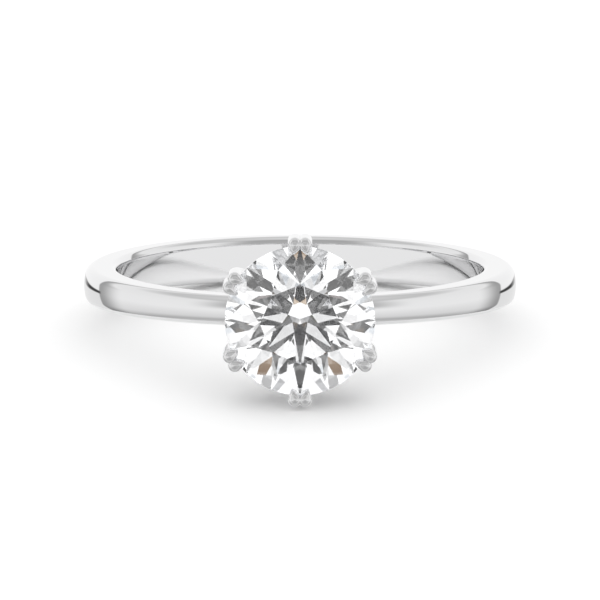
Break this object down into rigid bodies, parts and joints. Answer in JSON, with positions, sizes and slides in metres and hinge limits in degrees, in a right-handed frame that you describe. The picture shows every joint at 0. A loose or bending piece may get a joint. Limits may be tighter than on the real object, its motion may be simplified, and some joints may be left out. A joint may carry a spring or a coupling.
{
  "type": "solitaire engagement ring",
  "caption": "Polished white metal finger ring with a tapering band and a round brilliant diamond held in a low basket of paired claws.",
  "frame": {"origin": "centre of the finger hole, midway through the band's width", "axes": "+Z along the finger, -Y from the finger hole's centre towards the diamond, X across the diamond"},
  "size_m": [0.0196, 0.0229, 0.0074],
  "materials": {
    "white_gold": "mirror polished",
    "diamond": "faceted and polished, colourless"
  },
  "bodies": {
    "root": {"shank": "white_gold", "base_ring": "white_gold", "gallery_rail": "white_gold", "diamond": "diamond", "claw_12_left": "white_gold", "claw_12_right": "white_gold", "claw_2_left": "white_gold", "claw_2_right": "white_gold", "claw_4_left": "white_gold", "claw_4_right": "white_gold", "claw_6_left": "white_gold", "claw_6_right": "white_gold", "claw_8_left": "white_gold", "claw_8_right": "white_gold", "claw_10_left": "white_gold", "claw_10_right": "white_gold"}
  },
  "joints": []
}
